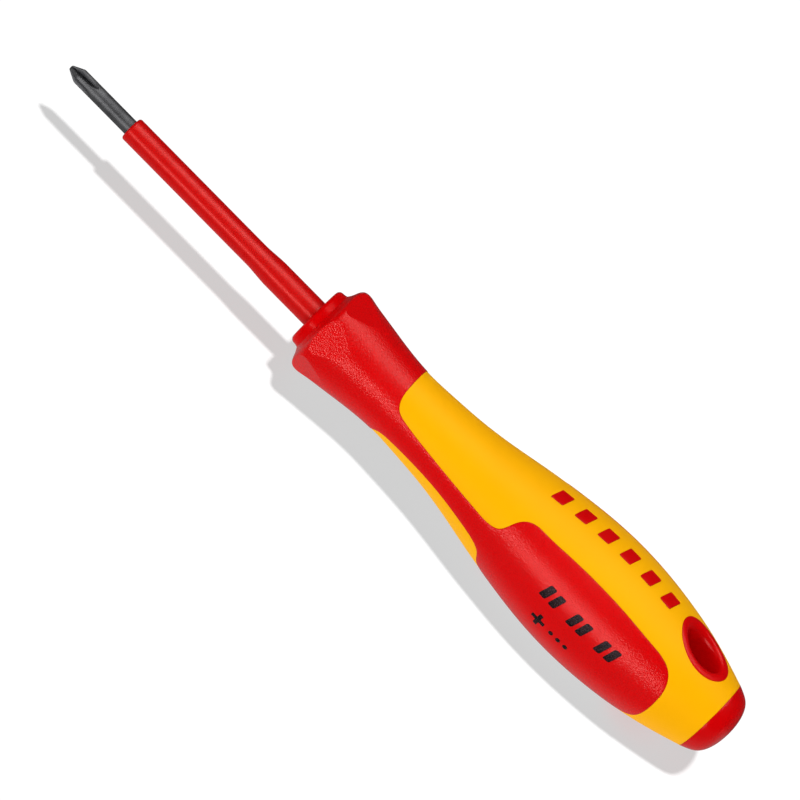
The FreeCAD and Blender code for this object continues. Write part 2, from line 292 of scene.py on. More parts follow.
def radius_at(x):
    return np.interp(x, HANDLE.fine[:, 0], HANDLE.fine[:, 1])


# ---- The handle's surface over (s, angle) ----------------------
def smooth_min(a, b, blend):
    h = np.clip(0.5 + 0.5 * (b - a) / blend, 0.0, 1.0)
    return b * (1 - h) + a * h - blend * h * (1 - h)


def surface(s, angle):
    """Point of the handle's profile surface: turned, with the six flats of the guard."""
    x, r = HANDLE.at_length(s).T
    sixth = math.pi / 3
    off_flat = np.mod(angle + sixth / 2, sixth) - sixth / 2
    flat = np.where(x < GUARD_BACK_X, GUARD_APOTHEM / np.cos(off_flat), NO_FLAT)
    r = smooth_min(r, flat, GUARD_EDGE_BLEND)
    return np.stack([x, -r * np.sin(angle), r * np.cos(angle)], axis=-1)


def lift(s, angle, height):
    """The surface point moved outward along the surface's normal."""
    s, angle, height = np.asarray(s, float), np.asarray(angle, float), np.asarray(height, float)
    ds, da = 0.02, 0.002
    s_low, s_high = np.clip(s - ds, 0, HANDLE.length), np.clip(s + ds, 0, HANDLE.length)
    along = surface(s_high, angle) - surface(s_low, angle)
    around = surface(s, angle + da) - surface(s, angle - da)
    normal = np.cross(around, along)
    normal /= np.linalg.norm(normal, axis=1)[:, None]
    return surface(s, angle) + normal * height[:, None]


def offset(curve, distance, closed):
    """The curve of (s, angle) moved sideways over the surface by distance, to the left of its direction."""
    if distance == 0:
        return curve.copy()
    if closed:
        step = np.roll(curve, -1, axis=0) - np.roll(curve, 1, axis=0)
    else:
        step = np.gradient(curve, axis=0)
        # The ends lie on lines of symmetry, which the curve meets at a right angle
        for end in (0, -1):
            step[end, 1 if abs(step[end, 0]) > abs(step[end, 1] * MEAN_R) else 0] = 0
    r = HANDLE.at_length(curve[:, 0])[:, 1]
    tangent = np.stack([step[:, 0], step[:, 1] * r], axis=-1)
    tangent /= np.linalg.norm(tangent, axis=1)[:, None]
    moved = curve.copy()
    moved[:, 0] -= distance * tangent[:, 1]
    moved[:, 1] += distance * tangent[:, 0] / r
    return moved


# ---- Sheets: stretches of the handle's skin --------------------
def edge_drop(edge_r, share):
    """How far a quarter-round edge lies under its top, at a share of the turn from its foot."""
    return edge_r * (1 - math.sin(QUARTER * share))


class Sheet:
    """Points and edges over (s, angle), triangulated inside a polygon, with the piece's edges rounded."""

    def __init__(self):
        self.places, self.heights, self.rims, self.edges, self.holes = [], [], [], [], []
        self.outline = None

    def line(self, curve, height, closed=False, rim=False):
        first = len(self.places)
        self.places += [tuple(p) for p in curve]
        self.heights += [height] * len(curve)
        self.rims += [rim] * len(curve)
        self.edges += [(first + i, first + i + 1) for i in range(len(curve) - 1)]
        if closed:
            self.edges.append((first + len(curve) - 1, first))
        return list(range(first, first + len(curve)))

    def border(self, curve, side, gap, edge_r, height, closed=False, hole=False):
        """A border of the piece: a gap, then a quarter-round edge up to the given height."""
        rings = []
        for share in (0.0, 1 / 3, 2 / 3, 1.0):
            inward = gap + edge_r * (1 - math.cos(QUARTER * share))
            ring = offset(curve, side * inward, closed)
            ids = self.line(ring, height - edge_drop(edge_r, share), closed, rim=share == 0.0)
            if hole and share == 0.0:
                self.holes.append(set(ids))
            rings.append(ring)
        return rings

    def fill(self, height, step, fine_until=0.0):
        """Adds a staggered grid inside the outline, clear of every line."""
        fixed = lift(*np.array(self.places).T, np.zeros(len(self.places)))
        tree = KDTree(len(fixed))
        for i, p in enumerate(fixed):
            tree.insert(p, i)
        tree.balance()
        low, high = self.outline.min(axis=0), self.outline.max(axis=0)
        turn = high[1] - low[1]
        grid = []
        s, row = low[0], 0
        while s < high[0]:
            pitch = FINE_STEP if s < fine_until else step
            count = max(1, math.ceil(turn * HANDLE.at_length(np.array([s]))[0, 1] / pitch))
            shift = 0.5 * (row % 2)
            grid += [(s, low[1] + turn * (k + shift) / count, pitch) for k in range(count + 1)]
            s += pitch * math.sqrt(3) / 2
            row += 1
        grid = np.array(grid)
        grid = grid[inside(grid[:, :2], self.outline)]
        lifted = lift(grid[:, 0], grid[:, 1], np.zeros(len(grid)))
        clear = [tree.find(p)[2] > CLEARANCE * pitch for p, pitch in zip(lifted, grid[:, 2])]
        for s, angle, _ in grid[clear]:
            self.places.append((s, angle))
            self.heights.append(height)
            self.rims.append(False)

    def triangles(self):
        """(s, angle, height, rim flag) of every vertex, and the triangles between them."""
        flat = [Vector((s, angle * MEAN_R)) for s, angle in self.places]
        points, _, faces, origins, _, _ = delaunay_2d_cdt(flat, self.edges, [], 1, 1e-5, True)
        source = [min(ids) if ids else None for ids in origins]
        faces = [f for f in faces if not any({source[i] for i in f} <= hole for hole in self.holes)]
        centres = np.array([sum((points[i] for i in f), Vector((0, 0))) / len(f) for f in faces])
        kept = inside(centres / np.array([1.0, MEAN_R]), self.outline)
        faces = [f for f, keep in zip(faces, kept) if keep]
        used = sorted({i for f in faces for i in f})
        place = {old: new for new, old in enumerate(used)}
        rows = []
        for i in used:
            ids = origins[i]
            rim = any(self.rims[k] for k in ids)
            rows.append((points[i].x, points[i].y / MEAN_R, self.heights[min(ids)] if ids else 0.0, rim))
        return np.array(rows, float), [[place[i] for i in f] for f in faces]


def inside(points, polygon):
    """Which points lie inside a polygon, by counting the crossings of a ray."""
    hit = np.zeros(len(points), bool)
    for (ax, ay), (bx, by) in zip(polygon, np.roll(polygon, -1, axis=0)):
        if ay == by:
            continue
        crosses = (points[:, 1] < ay) != (points[:, 1] < by)
        at_x = ax + (points[:, 1] - ay) * (bx - ax) / (by - ay)
        hit ^= crosses & (points[:, 0] < at_x)
    return hit


def thick_skin(sheet, depth):
    """Vertices and faces of a closed body: the sheet, its copy at a depth, and walls along the rims."""
    rows, faces = sheet.triangles()
    outer = lift(rows[:, 0], rows[:, 1], rows[:, 2])
    inner = lift(rows[:, 0], rows[:, 1], np.full(len(rows), -depth))
    count = len(rows)
    rim = rows[:, 3] > 0.5
    sides = dict.fromkeys((a, b) for f in faces for a, b in zip(f, f[1:] + f[:1]))
    walls = [
        [b, a, a + count, b + count]
        for a, b in sides
        if (b, a) not in sides and rim[a] and rim[b]
    ]
    flipped = [[i + count for i in reversed(f)] for f in faces]
    return np.concatenate([outer, inner]), faces + flipped + walls


def patch(loop, gap, edge_r, height, step):
    """Sheet inside a closed loop."""
    sheet = Sheet()
    side = -1 if area(loop) < 0 else 1
    sheet.outline = sheet.border(loop, side, gap, edge_r, height, closed=True)[0]
    sheet.fill(height, step)
    return sheet


def area(loop):
    """Signed area of a loop of (s, angle)."""
    s, a = loop.T
    return 0.5 * float(np.sum(s * np.roll(a, -1) - np.roll(s, -1) * a))


def joined(bodies):
    """Vertices and faces of several bodies as one."""
    vertices, faces, total = [], [], 0
    for more_vertices, more_faces in bodies:
        vertices.append(more_vertices)
        faces += [[i + total for i in f] for f in more_faces]
        total += len(more_vertices)
    return np.concatenate(vertices), faces


def with_copy_behind(body):
    """The body and the same body turned half a turn about the blade's axis."""
    vertices, faces = body
    return joined([body, (vertices * np.array([1.0, -1.0, -1.0]), faces)])


# ---- Meshes ----------------------------------------------------
def in_scene(name, data):
    """New object in the scene."""
    made = bpy.data.objects.new(name, data)
    bpy.context.scene.collection.objects.link(made)
    return made


def make_piece(name, body, material, nodes, sharp=50.0):
    """Writes a closed mesh in metres, and hides the CAD nodes that it stands for."""
    vertices, faces = body
    mesh = bpy.data.meshes.new(name)
    mesh.from_pydata([tuple(v) for v in vertices * MM], [], faces)
    weld_and_orient(mesh)
    mesh.materials.append(material)
    mesh.shade_smooth()
    mesh.set_sharp_from_angle(angle=math.radians(sharp))
    piece = in_scene(name, mesh)
    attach(piece, "root")
    if nodes:
        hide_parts(*nodes)


def weld_and_orient(mesh):
    work = bmesh.new()
    work.from_mesh(mesh)
    bmesh.ops.remove_doubles(work, verts=work.verts, dist=WELD)
    bmesh.ops.recalc_face_normals(work, faces=work.faces)
    open_edges = sum(1 for e in work.edges if len(e.link_faces) != 2)
    print(mesh.name, len(work.faces), "faces,", open_edges, "open edges")
    work.to_mesh(mesh)
    work.free()


def loops_to_faces(loop_count, columns, wrap):
    """Quads between neighbouring loops of points, and from the last loop back to the first if wrap."""
    faces = []
    for i in range(loop_count if wrap else loop_count - 1):
        for j in range(columns):
            a, b = i * columns, ((i + 1) % loop_count) * columns
            k = (j + 1) % columns
            faces.append([a + j, a + k, b + k, b + j])
    return faces


def turned_points(profile):
    """Points turned about the blade's axis from (x, radius)."""
    angles = np.arange(ROUND_COLUMNS) * 2 * math.pi / ROUND_COLUMNS
    x, r = np.array(profile, float).T
    return np.stack([
        np.repeat(x, ROUND_COLUMNS),
        -np.outer(r, np.sin(angles)).ravel(),
        np.outer(r, np.cos(angles)).ravel(),
    ], axis=-1)


def turned(profile):
    """Closed body turned about the blade's axis from a closed loop of (x, radius)."""
    return turned_points(profile), loops_to_faces(len(profile), ROUND_COLUMNS, wrap=True)


def capped(points, columns, first_x, last_x):
    """Closed body through loops of points, with a point on the axis before the first and behind the last."""
    tip = len(points)
    last = tip - columns
    faces = loops_to_faces(tip // columns, columns, wrap=False)
    for j in range(columns):
        k = (j + 1) % columns
        faces += [[tip, k, j], [tip + 1, last + j, last + k]]
    return np.concatenate([points, np.array([[first_x, 0, 0], [last_x, 0, 0]])]), faces


def quarter_round(front, r, radius, count=6):
    """Points of a profile's rounded corner, from its front face to its outer radius r."""
    turns = [QUARTER * k / count for k in range(count + 1)]
    return [(front + radius - radius * math.cos(t), r - radius + radius * math.sin(t)) for t in turns]


def evenly_between(start, end, step):
    count = max(1, round(abs(end - start) / step))
    return [start + (end - start) * k / count for k in range(count + 1)]


# ---- Materials -------------------------------------------------
class Finish:
    """Shorthand for building a material's nodes."""

    def __init__(self, name):
        self.material = bpy.data.materials.new(name)
        self.material.use_nodes = True
        self.tree = self.material.node_tree
        self.shader = self.tree.nodes["Principled BSDF"]
        self.place = self.add("ShaderNodeTexCoord").outputs["Object"]

    def add(self, kind, settings=None, **inputs):
        node = self.tree.nodes.new(kind)
        for key, value in (settings or {}).items():
            setattr(node, key, value)
        for key, value in inputs.items():
            socket = node.inputs[int(key[1:])] if key[0] == "n" and key[1:].isdigit() else node.inputs[key]
            self.feed(socket, value)
        return node

    def feed(self, socket, value):
        if isinstance(value, bpy.types.NodeSocket):
            self.tree.links.new(value, socket)
        else:
            socket.default_value = value

    def noise(self, size_mm, detail=2.0, roughness=0.5, stretch=(1, 1, 1)):
        """Noise between 0 and 1 with features of about size_mm."""
        mapped = self.add("ShaderNodeMapping", Vector=self.place, Scale=stretch).outputs["Vector"]
        scale = 1 / (size_mm * MM)
        node = self.add("ShaderNodeTexNoise", Vector=mapped, Scale=scale, Detail=detail, Roughness=roughness)
        return node.outputs["Fac"]

    def pitted(self, size_mm):
        """Eroded mould texture: small round pits (0) side by side, with sharp ridges (1) between them."""
        cells = self.add("ShaderNodeTexVoronoi", Vector=self.place, Scale=1 / (size_mm * MM))
        return self.add("ShaderNodeMapRange", n0=cells.outputs["Distance"], n1=0.05, n2=0.75).outputs[0]

    def between(self, amount, low, high):
        """The values low to high, as amount goes from 0.3 to 0.7, where noise mostly lies."""
        settings = {"interpolation_type": "SMOOTHSTEP"}
        node = self.add("ShaderNodeMapRange", settings, n0=amount, n1=0.3, n2=0.7, n3=low, n4=high)
        return node.outputs[0]

    def mix_colour(self, amount, first, second):
        node = self.add("ShaderNodeMix", {"data_type": "RGBA"}, Factor=amount, n6=first, n7=second)
        return node.outputs[2]

    def bump(self, height, depth_mm):
        node = self.add("ShaderNodeBump", Strength=1.0, Distance=depth_mm * MM, Height=height)
        return node.outputs["Normal"]

    def set(self, **inputs):
        for key, value in inputs.items():
            self.feed(self.shader.inputs[key.replace("_", " ")], value)

    def set_highlight(self, level, tint=WHITE):
        self.set(Specular_IOR_Level=level, Specular_Tint=tint)

    def set_outer_colour(self, base):
        """Base colour whose bounced light is neutral, so that the shadow on the floor stays grey."""
        path = self.add("ShaderNodeLightPath")
        self.set(Base_Color=self.mix_colour(path.outputs["Is Diffuse Ray"], base, NEUTRAL))


def colour(red, green, blue):
    """Linear colour with alpha from 0 to 255 display values."""
    def linear(v):
        v = v / 255
        return v / 12.92 if v <= 0.04045 else ((v + 0.055) / 1.055) ** 2.4

    return (linear(red), linear(green), linear(blue), 1.0)


def soft_red():
    """Thermoplastic rubber with a fine eroded grain, its pits painted darker as shade."""
    f = Finish("soft_red_grained")
    grain = f.pitted(GRAIN_SIZE)
    patches = f.noise(14.0)
    base = f.mix_colour(patches, colour(215, 0, 3), colour(223, 1, 5))
    # Painted shade: the bottoms of the grain's pits are painted a darker red
    base = f.mix_colour(f.between(grain, 0.25, 0.0), base, colour(176, 0, 2))
    f.set_outer_colour(base)
    f.set(Roughness=f.between(grain, 0.22, 0.18), Normal=f.bump(grain, GRAIN_DEPTH))
    f.set_highlight(0.64, HIGHLIGHT_RED)
    return f.material


def hard_red(name, first, second, roughness, highlight, tint):
    """Smooth moulded plastic."""
    f = Finish(name)
    patches = f.noise(9.0)
    ripple = f.noise(1.6, detail=3.0)
    base = f.mix_colour(patches, first, second)
    f.set(Base_Color=base, Roughness=f.between(ripple, roughness - 0.03, roughness + 0.04))
    f.set(Normal=f.bump(ripple, 0.0015))
    f.set_highlight(highlight, tint)
    return f.material


def shell_yellow():
    """Satin hard plastic with a slight orange peel."""
    f = Finish("shell_yellow_satin")
    patches = f.noise(16.0)
    peel = f.noise(0.7, detail=2.0)
    base = f.mix_colour(patches, colour(255, 177, 0), colour(255, 183, 2))
    f.set_outer_colour(base)
    f.set(Roughness=f.between(peel, 0.42, 0.5), Normal=f.bump(peel, 0.006))
    f.set_highlight(0.07, (1.0, 0.75, 0.2, 1.0))
    return f.material


def blade_steel():
    """Burnished, nearly black steel with fine drawing lines along the rod, and painted shade in the flutes.
    """
    f = Finish("blade_burnished")
    lines = f.noise(0.12, detail=4.0, roughness=0.7, stretch=(0.05, 1, 1))
    clouds = f.noise(2.2, detail=3.0)
    base = f.mix_colour(clouds, colour(72, 72, 74), colour(92, 92, 93))
    # Radius as a share of the rod's or cone's. Painted shade: the flutes lie deep, so their colour is
    # darkened towards the roots to stand in for the shade in them.
    across = f.add("ShaderNodeVectorMath", {"operation": "MULTIPLY"}, n0=f.place, n1=(0.0, 1 / MM, 1 / MM))
    radius = f.add("ShaderNodeVectorMath", {"operation": "LENGTH"}, n0=across.outputs[0]).outputs["Value"]
    x = f.add("ShaderNodeSeparateXYZ", Vector=f.place).outputs["X"]
    cone_end = (BLADE_R - POINT_R) / math.tan(POINT_HALF_ANGLE) * MM
    body = f.add("ShaderNodeMapRange", n0=x, n1=0.0, n2=cone_end, n3=POINT_R, n4=BLADE_R).outputs[0]
    share = f.add("ShaderNodeMath", {"operation": "DIVIDE"}, n0=radius, n1=body).outputs[0]
    depth = f.add("ShaderNodeMapRange", {"interpolation_type": "SMOOTHSTEP"}, n0=share, n1=0.55, n2=0.92)
    # Painted shade: darker colour deep in the flutes
    base = f.mix_colour(depth.outputs[0], colour(44, 44, 46), base)
    f.set(Base_Color=base, Metallic=0.65)
    f.set(Roughness=f.between(clouds, 0.36, 0.48), Normal=f.bump(lines, 0.010))
    f.set_highlight(0.1)
    return f.material


def ink_black():
    """Ink printed over the grain of the pad, a little worn on its high spots."""
    f = Finish("print_black_ink")
    grain = f.pitted(GRAIN_SIZE)
    worn = f.noise(0.9, detail=3.0)
    base = f.mix_colour(f.between(worn, 0.0, 0.35), colour(20, 15, 16), colour(64, 30, 34))
    f.set(Base_Color=base, Roughness=f.between(grain, 0.30, 0.20), Normal=f.bump(grain, GRAIN_DEPTH))
    f.set_highlight(1.0, (0.32, 0.27, 0.30, 1.0))
    return f.material


SOFT_RED = soft_red()
HARD_RED = hard_red(
    "hard_red_gloss", colour(205, 0, 3), colour(213, 1, 5),
    roughness=0.19, highlight=0.42, tint=HIGHLIGHT_RED,
)
NOSE_RED = hard_red(
    "nose_red_satin", colour(206, 0, 3), colour(214, 1, 4),
    roughness=0.18, highlight=0.08, tint=HIGHLIGHT_RED,
)
SLEEVE_RED = hard_red(
    "insulation_red_gloss", colour(194, 1, 1), colour(203, 1, 1),
    roughness=0.29, highlight=0.47, tint=HIGHLIGHT_SLEEVE,
)
SHELL_YELLOW = shell_yellow()
STEEL = blade_steel()
INK = ink_black()


# ---- Blade -----------------------------------------------------
def flute_root(x):
    """Radius at the bottom of a flute."""
    straight = FLUTE_ROOT_R + np.minimum(x, FLUTE_STRAIGHT_X) * math.tan(FLUTE_SLOPE)
    past = np.clip(x - FLUTE_STRAIGHT_X, 0.0, FLUTE_WHEEL_R)
    return straight + FLUTE_WHEEL_R - np.sqrt(FLUTE_WHEEL_R ** 2 - past ** 2)


def blade_radius(x, angle):
    """Radius of the blade: rod and cone, four flutes at the point, four pressed wings at the back."""
    body = smooth_min(POINT_R + x * math.tan(POINT_HALF_ANGLE), np.full_like(x, BLADE_R), POINT_BLEND)
    off = np.mod(angle - FLUTE_TURN + math.pi / 4, QUARTER) - math.pi / 4
    opening = np.maximum(np.cos(off) - np.sqrt(np.sin(off) ** 2 + FLUTE_BLUNT), 1e-3)
    body = smooth_min(body, flute_root(x) / opening, FLUTE_BLEND)
    off = np.mod(angle + math.pi / 4, QUARTER) - math.pi / 4
    plate = np.minimum(WING_R, WING_HALF_THICKNESS / np.maximum(np.abs(np.sin(off)), 1e-6))
    rise = np.interp(x, WING_STATIONS, (0.0, 1.0, 1.0, 0.0))
    return np.maximum(body, rise * plate)


def make_blade():
    columns = BLADE_COLUMNS
    chamfer = 0.4
    angles = FLUTE_TURN + np.arange(columns) * 2 * math.pi / columns
    stations = evenly_between(0.02, 6.4, 0.06) + evenly_between(7.0, WING_STATIONS[0], 1.0)
    stations += evenly_between(WING_STATIONS[0] + 0.5, WING_STATIONS[-1], 0.5)
    stations += [99.0, BLADE_BACK_X - chamfer, BLADE_BACK_X]
    points = []
    for x in stations:
        r = blade_radius(np.full(columns, x), angles)
        if x < POINT_EDGE_R:
            r = r - POINT_EDGE_R * (1 - math.sqrt(1 - (1 - x / POINT_EDGE_R) ** 2))
        if x == BLADE_BACK_X:
            r = r - chamfer
        points.append(np.stack([np.full(columns, x), -r * np.sin(angles), r * np.cos(angles)], axis=-1))
    body = capped(np.concatenate(points), columns, 0.0, BLADE_BACK_X)
    make_piece("blade_rod", body, STEEL, ["blade"], sharp=60.0)


# ---- Blade insulation and nose ring ----------------------------
def make_sleeve():
    bore = BLADE_R + 0.03
    front, back = SLEEVE_FRONT_X, SLEEVE_BACK_X
    step_start, step_end = SLEEVE_STEP
    outline = [(back, bore), (front + 0.25, bore), (front + 0.05, bore + 0.12), (front, bore + 0.3)]
    outline += quarter_round(front, SLEEVE_R, SLEEVE_EDGE_R)
    outline += [(x, SLEEVE_R) for x in evenly_between(front + 2.0, step_start - 1.0, 1.5)]
    for x in evenly_between(step_start, step_end, 0.4):
        t = (x - step_start) / (step_end - step_start)
        outline.append((x, SLEEVE_R + (SLEEVE_BACK_R - SLEEVE_R) * (3 * t * t - 2 * t ** 3)))
    outline += [(x, SLEEVE_BACK_R) for x in evenly_between(step_end + 1.5, back - 0.4, 1.5)]
    outline.append((back, SLEEVE_BACK_R - 0.3))
    make_piece("blade_sleeve", turned(outline), SLEEVE_RED, ["blade_insulation"])


def make_nose_ring():
    bore = SLEEVE_BACK_R + 0.06
    front, back = NOSE_FRONT_X, GRIP_FRONT_X
    outline = [(NOSE_SPIGOT_BACK_X, bore), (front + 0.35, bore), (front + 0.12, bore + 0.08)]
    outline += [(front, r) for r in (bore + 0.3, 3.6, 4.4)]
    outline += quarter_round(front, NOSE_RING_R, NOSE_EDGE_R, 10)
    for x in evenly_between(front + NOSE_EDGE_R + 0.3, back, 0.3):
        share = (x - front - NOSE_EDGE_R) / (back - front - NOSE_EDGE_R)
        outline.append((x, NOSE_RING_R + (NOSE_RING_BACK_R - NOSE_RING_R) * share ** 2))
    outline += [(back, NOSE_SPIGOT_R), (NOSE_SPIGOT_BACK_X, NOSE_SPIGOT_R)]
    make_piece("nose_ring", turned(outline), NOSE_RED, ["nose_bush"])


# ---- Soft grip and hard shell ----------------------------------
def pad_half_outline():
    """(s, angle from the pad's middle) from the back of the collar to the back of the pad."""
    knots = [(s_of_x(COLLAR_BACK_X), QUARTER * MEAN_R)]
    for x, half_width in PAD_EDGE:
        angle = math.asin(min(1.0, half_width / radius_at(x)))
        knots.append((s_of_x(x), angle * MEAN_R))
    curve = Spline(knots, start=(0, -1), end=(0, -1)).evenly(0.3)
    return np.stack([curve[:, 0], curve[:, 1] / MEAN_R], axis=-1)


def straight(start, end, step=MESH_STEP):
    """Evenly spaced points between two places of (s, angle)."""
    run = math.hypot(end[0] - start[0], (end[1] - start[1]) * MEAN_R)
    count = max(1, round(run / step))
    return np.linspace(start, end, count + 1)


def guard_creases(sheet):
    """Lines along the edges of the guard's flats, so that the mesh follows them."""
    for level in (-1.0, -0.33, 0.33, 1.0):
        apothem = GUARD_APOTHEM + level * GUARD_EDGE_BLEND
        s = np.linspace(0.0, s_of_x(GUARD_BACK_X), CREASE_POINTS)
        r = HANDLE.at_length(s)[:, 1]
        on_flat = np.flatnonzero(r > apothem)
        s, r = s[on_flat], r[on_flat]
        half = np.stack([s, np.arccos(apothem / r) * MEAN_R], axis=-1)
        half[0, 1] = half[-1, 1] = 0.0
        run = np.concatenate([[0.0], np.cumsum(np.linalg.norm(np.diff(half, axis=0), axis=1))])
        even = np.linspace(0.0, run[-1], round(run[-1] / CREASE_STEP) + 1)
        s, across = (np.interp(even, run, half[:, k]) for k in (0, 1))
        branch = np.stack([s, across / MEAN_R], axis=-1)
        other = branch[-2:0:-1] * np.array([1, -1])
        for middle in (math.pi / 3, 2 * math.pi / 3):
            loop = np.concatenate([branch, other])
            loop[:, 1] += middle
            sheet.line(loop, PAD_PROUD, closed=True)
        sheet.line(branch, PAD_PROUD)
        sheet.line(branch * np.array([1, -1]) + np.array([0, math.pi]), PAD_PROUD)


def make_soft_grip():
    """Collar, tongue and pad of the -Y side, then their copy on the +Y side."""
    half = pad_half_outline()
    edge = np.concatenate([half, half[-2::-1] * np.array([1, -1])])
    edge[:, 1] += QUARTER
    sheet = Sheet()
    # The outline runs from angle pi through the pad's back to angle 0, so the skin lies on its right.
    rings = sheet.border(edge, -1, SEAM_GAP, GRIP_EDGE_R, PAD_PROUD)
    front = straight((0.0, HALF_TURN), (0.0, 0.0), FINE_STEP)
    sheet.line(front, 0.0, rim=True)
    step_in, step_height = GRIP_RISE
    second = front.copy()
    second[:, 0] = step_in
    sheet.line(second, step_height)
    back = s_of_x(GUARD_BACK_X)
    for angle in (0.0, HALF_TURN):
        stops = [ring[-1 if angle == 0 else 0][0] for ring in rings][::-1]
        column = np.concatenate([
            straight((0.0, angle), (back, angle), FINE_STEP)[:-1],
            straight((back, angle), (stops[0], angle)),
            np.array([(s, angle) for s in stops[1:]]),
        ])
        heights = np.interp(column[:, 0], (0.0, step_in, 2 * step_in), (0.0, step_height, PAD_PROUD))
        ids = sheet.line(column, 0.0)
        for i, h in zip(ids[:-3], heights):
            sheet.heights[i] = h
        for i, share in zip(ids[-3:], (2 / 3, 1 / 3, 0.0)):
            sheet.heights[i] = PAD_PROUD - edge_drop(GRIP_EDGE_R, share)
        sheet.rims[ids[0]] = sheet.rims[ids[-1]] = True
    guard_creases(sheet)
    sheet.outline = np.concatenate([rings[0], front[::-1]])
    sheet.fill(PAD_PROUD, MESH_STEP, fine_until=back)
    body = with_copy_behind(thick_skin(sheet, SKIN_DEPTH))
    make_piece("grip_skin", body, SOFT_RED, ["soft_grip"])


def loop_on_face(outline_xy):
    """A closed loop given seen along Z, as (s, angle) on the +Z face."""
    x, y = np.array(outline_xy, float).T
    return np.stack([s_of_x(x), np.arcsin(-y / radius_at(x))], axis=-1)


def ellipse(a, b):
    turns = [2 * math.pi * k / OVAL_COLUMNS for k in range(OVAL_COLUMNS)]
    return [(EYELET_X + a * math.cos(t), b * math.sin(t)) for t in turns]


def corner_arc(before, corner, after):
    """Points of a quadratic arc that rounds a corner between two points on its sides."""
    shares = (0.0, 0.25, 0.5, 0.75, 1.0)
    return [before * (1 - t) ** 2 + corner * 2 * t * (1 - t) + after * t * t for t in shares]


def inlay_loop(index):
    """Outline of one slanted bar with round corners, seen along Z."""
    middle = INLAY_FIRST_X + index * INLAY_PITCH
    half, lean, height, r = INLAY_LENGTH / 2, INLAY_SLANT / 2, INLAY_HALF_HEIGHT, INLAY_CORNER_R
    corners = [
        Vector((middle + side * half + end * lean, end * height))
        for side, end in ((-1, -1), (1, -1), (1, 1), (-1, 1))
    ]
    loop = []
    for i, corner in enumerate(corners):
        to_last = (corners[i - 1] - corner).normalized()
        to_next = (corners[(i + 1) % 4] - corner).normalized()
        half_angle = to_last.angle(to_next) / 2
        cut = r / math.tan(half_angle)
        start = corner + to_next * cut
        loop += corner_arc(corner + to_last * cut, corner, start)
        edge_end = corners[(i + 1) % 4] - to_next * r * 1.3
        count = max(2, round((edge_end - start).length / 0.3))
        loop += [start.lerp(edge_end, k / count) for k in range(1, count)]
    return [(p.x, p.y) for p in loop]


def make_hard_shell():
    """The +Z face between the pads, with the ring in front of the cap, then its copy on the -Z side."""
    half = pad_half_outline()
    left = np.stack([half[::-1, 0], QUARTER - half[::-1, 1]], axis=-1)
    edge = np.concatenate([left, left[-2::-1] * np.array([1, -1])])
    sheet = Sheet()
    # The outline runs from the back at +pi/2 round the collar to the back at -pi/2.
    rings = sheet.border(edge, 1, SEAM_GAP, SHELL_EDGE_R, -SHELL_SUNK)
    end_s = HANDLE.length
    back = straight((end_s, -QUARTER), (end_s, QUARTER), 0.4)
    back_rings = sheet.border(back, 1, SEAM_GAP, SHELL_EDGE_R, -SHELL_SUNK)
    for angle in (QUARTER, -QUARTER):
        near = [ring[0 if angle > 0 else -1][0] for ring in rings]
        far = [ring[0][0] for ring in back_rings][::-1]
        column = np.concatenate([
            np.array([(s, angle) for s in near[:-1]]),
            straight((near[-1], angle), (far[0], angle)),
            np.array([(s, angle) for s in far[1:]]),
        ])
        ids = sheet.line(column, -SHELL_SUNK)
        for k, share in enumerate((0.0, 1 / 3, 2 / 3)):
            height = -SHELL_SUNK - edge_drop(SHELL_EDGE_R, share)
            sheet.heights[ids[k]] = sheet.heights[ids[-1 - k]] = height
        sheet.rims[ids[0]] = sheet.rims[ids[-1]] = True
    holes = [loop_on_face(ellipse(EYELET_A, EYELET_B))]
    holes += [loop_on_face(inlay_loop(k)) for k in range(INLAY_COUNT)]
    for hole in holes:
        side = 1 if area(hole) < 0 else -1
        sheet.border(hole, side, INLAY_GAP, HOLE_EDGE_R, -SHELL_SUNK, closed=True, hole=True)
    sheet.outline = np.concatenate([rings[0], back_rings[0]])
    sheet.fill(-SHELL_SUNK, MESH_STEP)
    drop_points_in(sheet, holes)
    body = with_copy_behind(thick_skin(sheet, SKIN_DEPTH))
    make_piece("hard_shell", body, SHELL_YELLOW, ["handle_shell"])


def drop_points_in(sheet, holes):
    """Drops the grid points that fell into a hole. They are never part of an edge."""
    fixed = max(max(e) for e in sheet.edges) + 1
    places = np.array(sheet.places)
    drop = np.zeros(len(places), bool)
    for hole in holes:
        drop[fixed:] |= inside(places[fixed:], hole)
    kept = np.flatnonzero(~drop)
    for values in (sheet.places, sheet.heights, sheet.rims):
        values[:] = [values[i] for i in kept]


def make_inlays():
    """Slanted bars, nearly level with the shell, on both faces."""
    bars = []
    for k in range(INLAY_COUNT):
        loop = loop_on_face(inlay_loop(k))
        sheet = patch(loop, INLAY_GAP, INLAY_EDGE_R, INLAY_HEIGHT, INLAY_STEP)
        bars.append(with_copy_behind(thick_skin(sheet, INLAY_DEPTH)))
    make_piece("inlay_bars", joined(bars), HARD_RED, ["shell_inlays"])


# ---- Print on the pad ------------------------------------------
def on_pad(x, across):
    """(s, angle) of a spot on the pad: along the handle, and a distance from the pad's middle towards +Z."""
    return s_of_x(x), QUARTER - across / radius_at(x)


def rounded_polygon(corners, corner_r):
    """Closed outline through straight sides and round corners, as plain (x, across) points."""
    points = []
    count = len(corners)
    for i, corner in enumerate(corners):
        corner = Vector(corner)
        to_last = Vector(corners[i - 1]) - corner
        to_next = Vector(corners[(i + 1) % count]) - corner
        reach = min(corner_r, 0.45 * to_last.length, 0.45 * to_next.length)
        a, b = corner + to_last.normalized() * reach, corner + to_next.normalized() * reach
        points += corner_arc(a, corner, b)
        end = corner + to_next - to_next.normalized() * min(corner_r, 0.45 * to_next.length)
        pieces = max(1, round((end - b).length / INK_STEP))
        points += [b.lerp(end, k / pieces) for k in range(1, pieces)]
    return points


